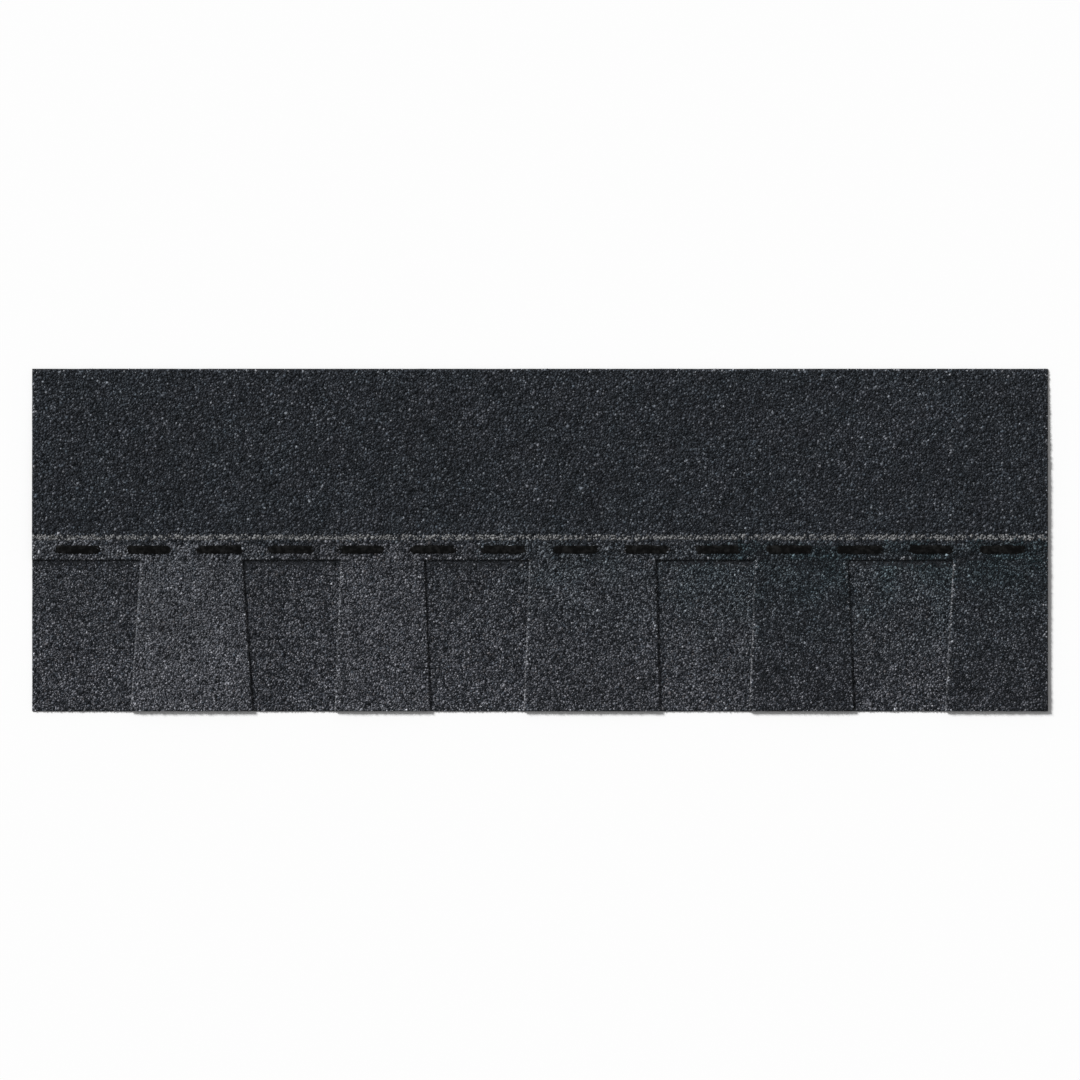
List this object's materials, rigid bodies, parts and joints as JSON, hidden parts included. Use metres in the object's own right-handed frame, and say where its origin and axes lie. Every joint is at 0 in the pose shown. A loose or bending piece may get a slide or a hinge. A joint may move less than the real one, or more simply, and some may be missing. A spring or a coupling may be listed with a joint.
{
  "type": "laminated asphalt shingle",
  "caption": "Flat charcoal roof shingle: a granule-surfaced sheet with flared tabs cut along its lower half, glued over a backer strip that shows between them, with a self-sealing strip.",
  "frame": {"origin": "middle of the shingle's footprint, on the floor it lies on", "axes": "+X along the course towards the end tab, +Y up the roof towards the plain top edge, +Z out of the granule-surfaced weather face"},
  "size_m": [1, 0.337, 0.0063],
  "materials": {
    "face_granules": "matte ceramic-coated mineral granules bedded in asphalt, blended charcoal greys, lighter on some tabs",
    "backer_granules": "matte ceramic-coated mineral granules bedded in asphalt, mixed charcoal greys",
    "sealant": "smooth, slightly glossy black polymer-modified bitumen"
  },
  "bodies": {
    "root": {"tooth_sheet": "face_granules", "backer_strip": "backer_granules", "seal_strip": "sealant"}
  },
  "joints": []
}
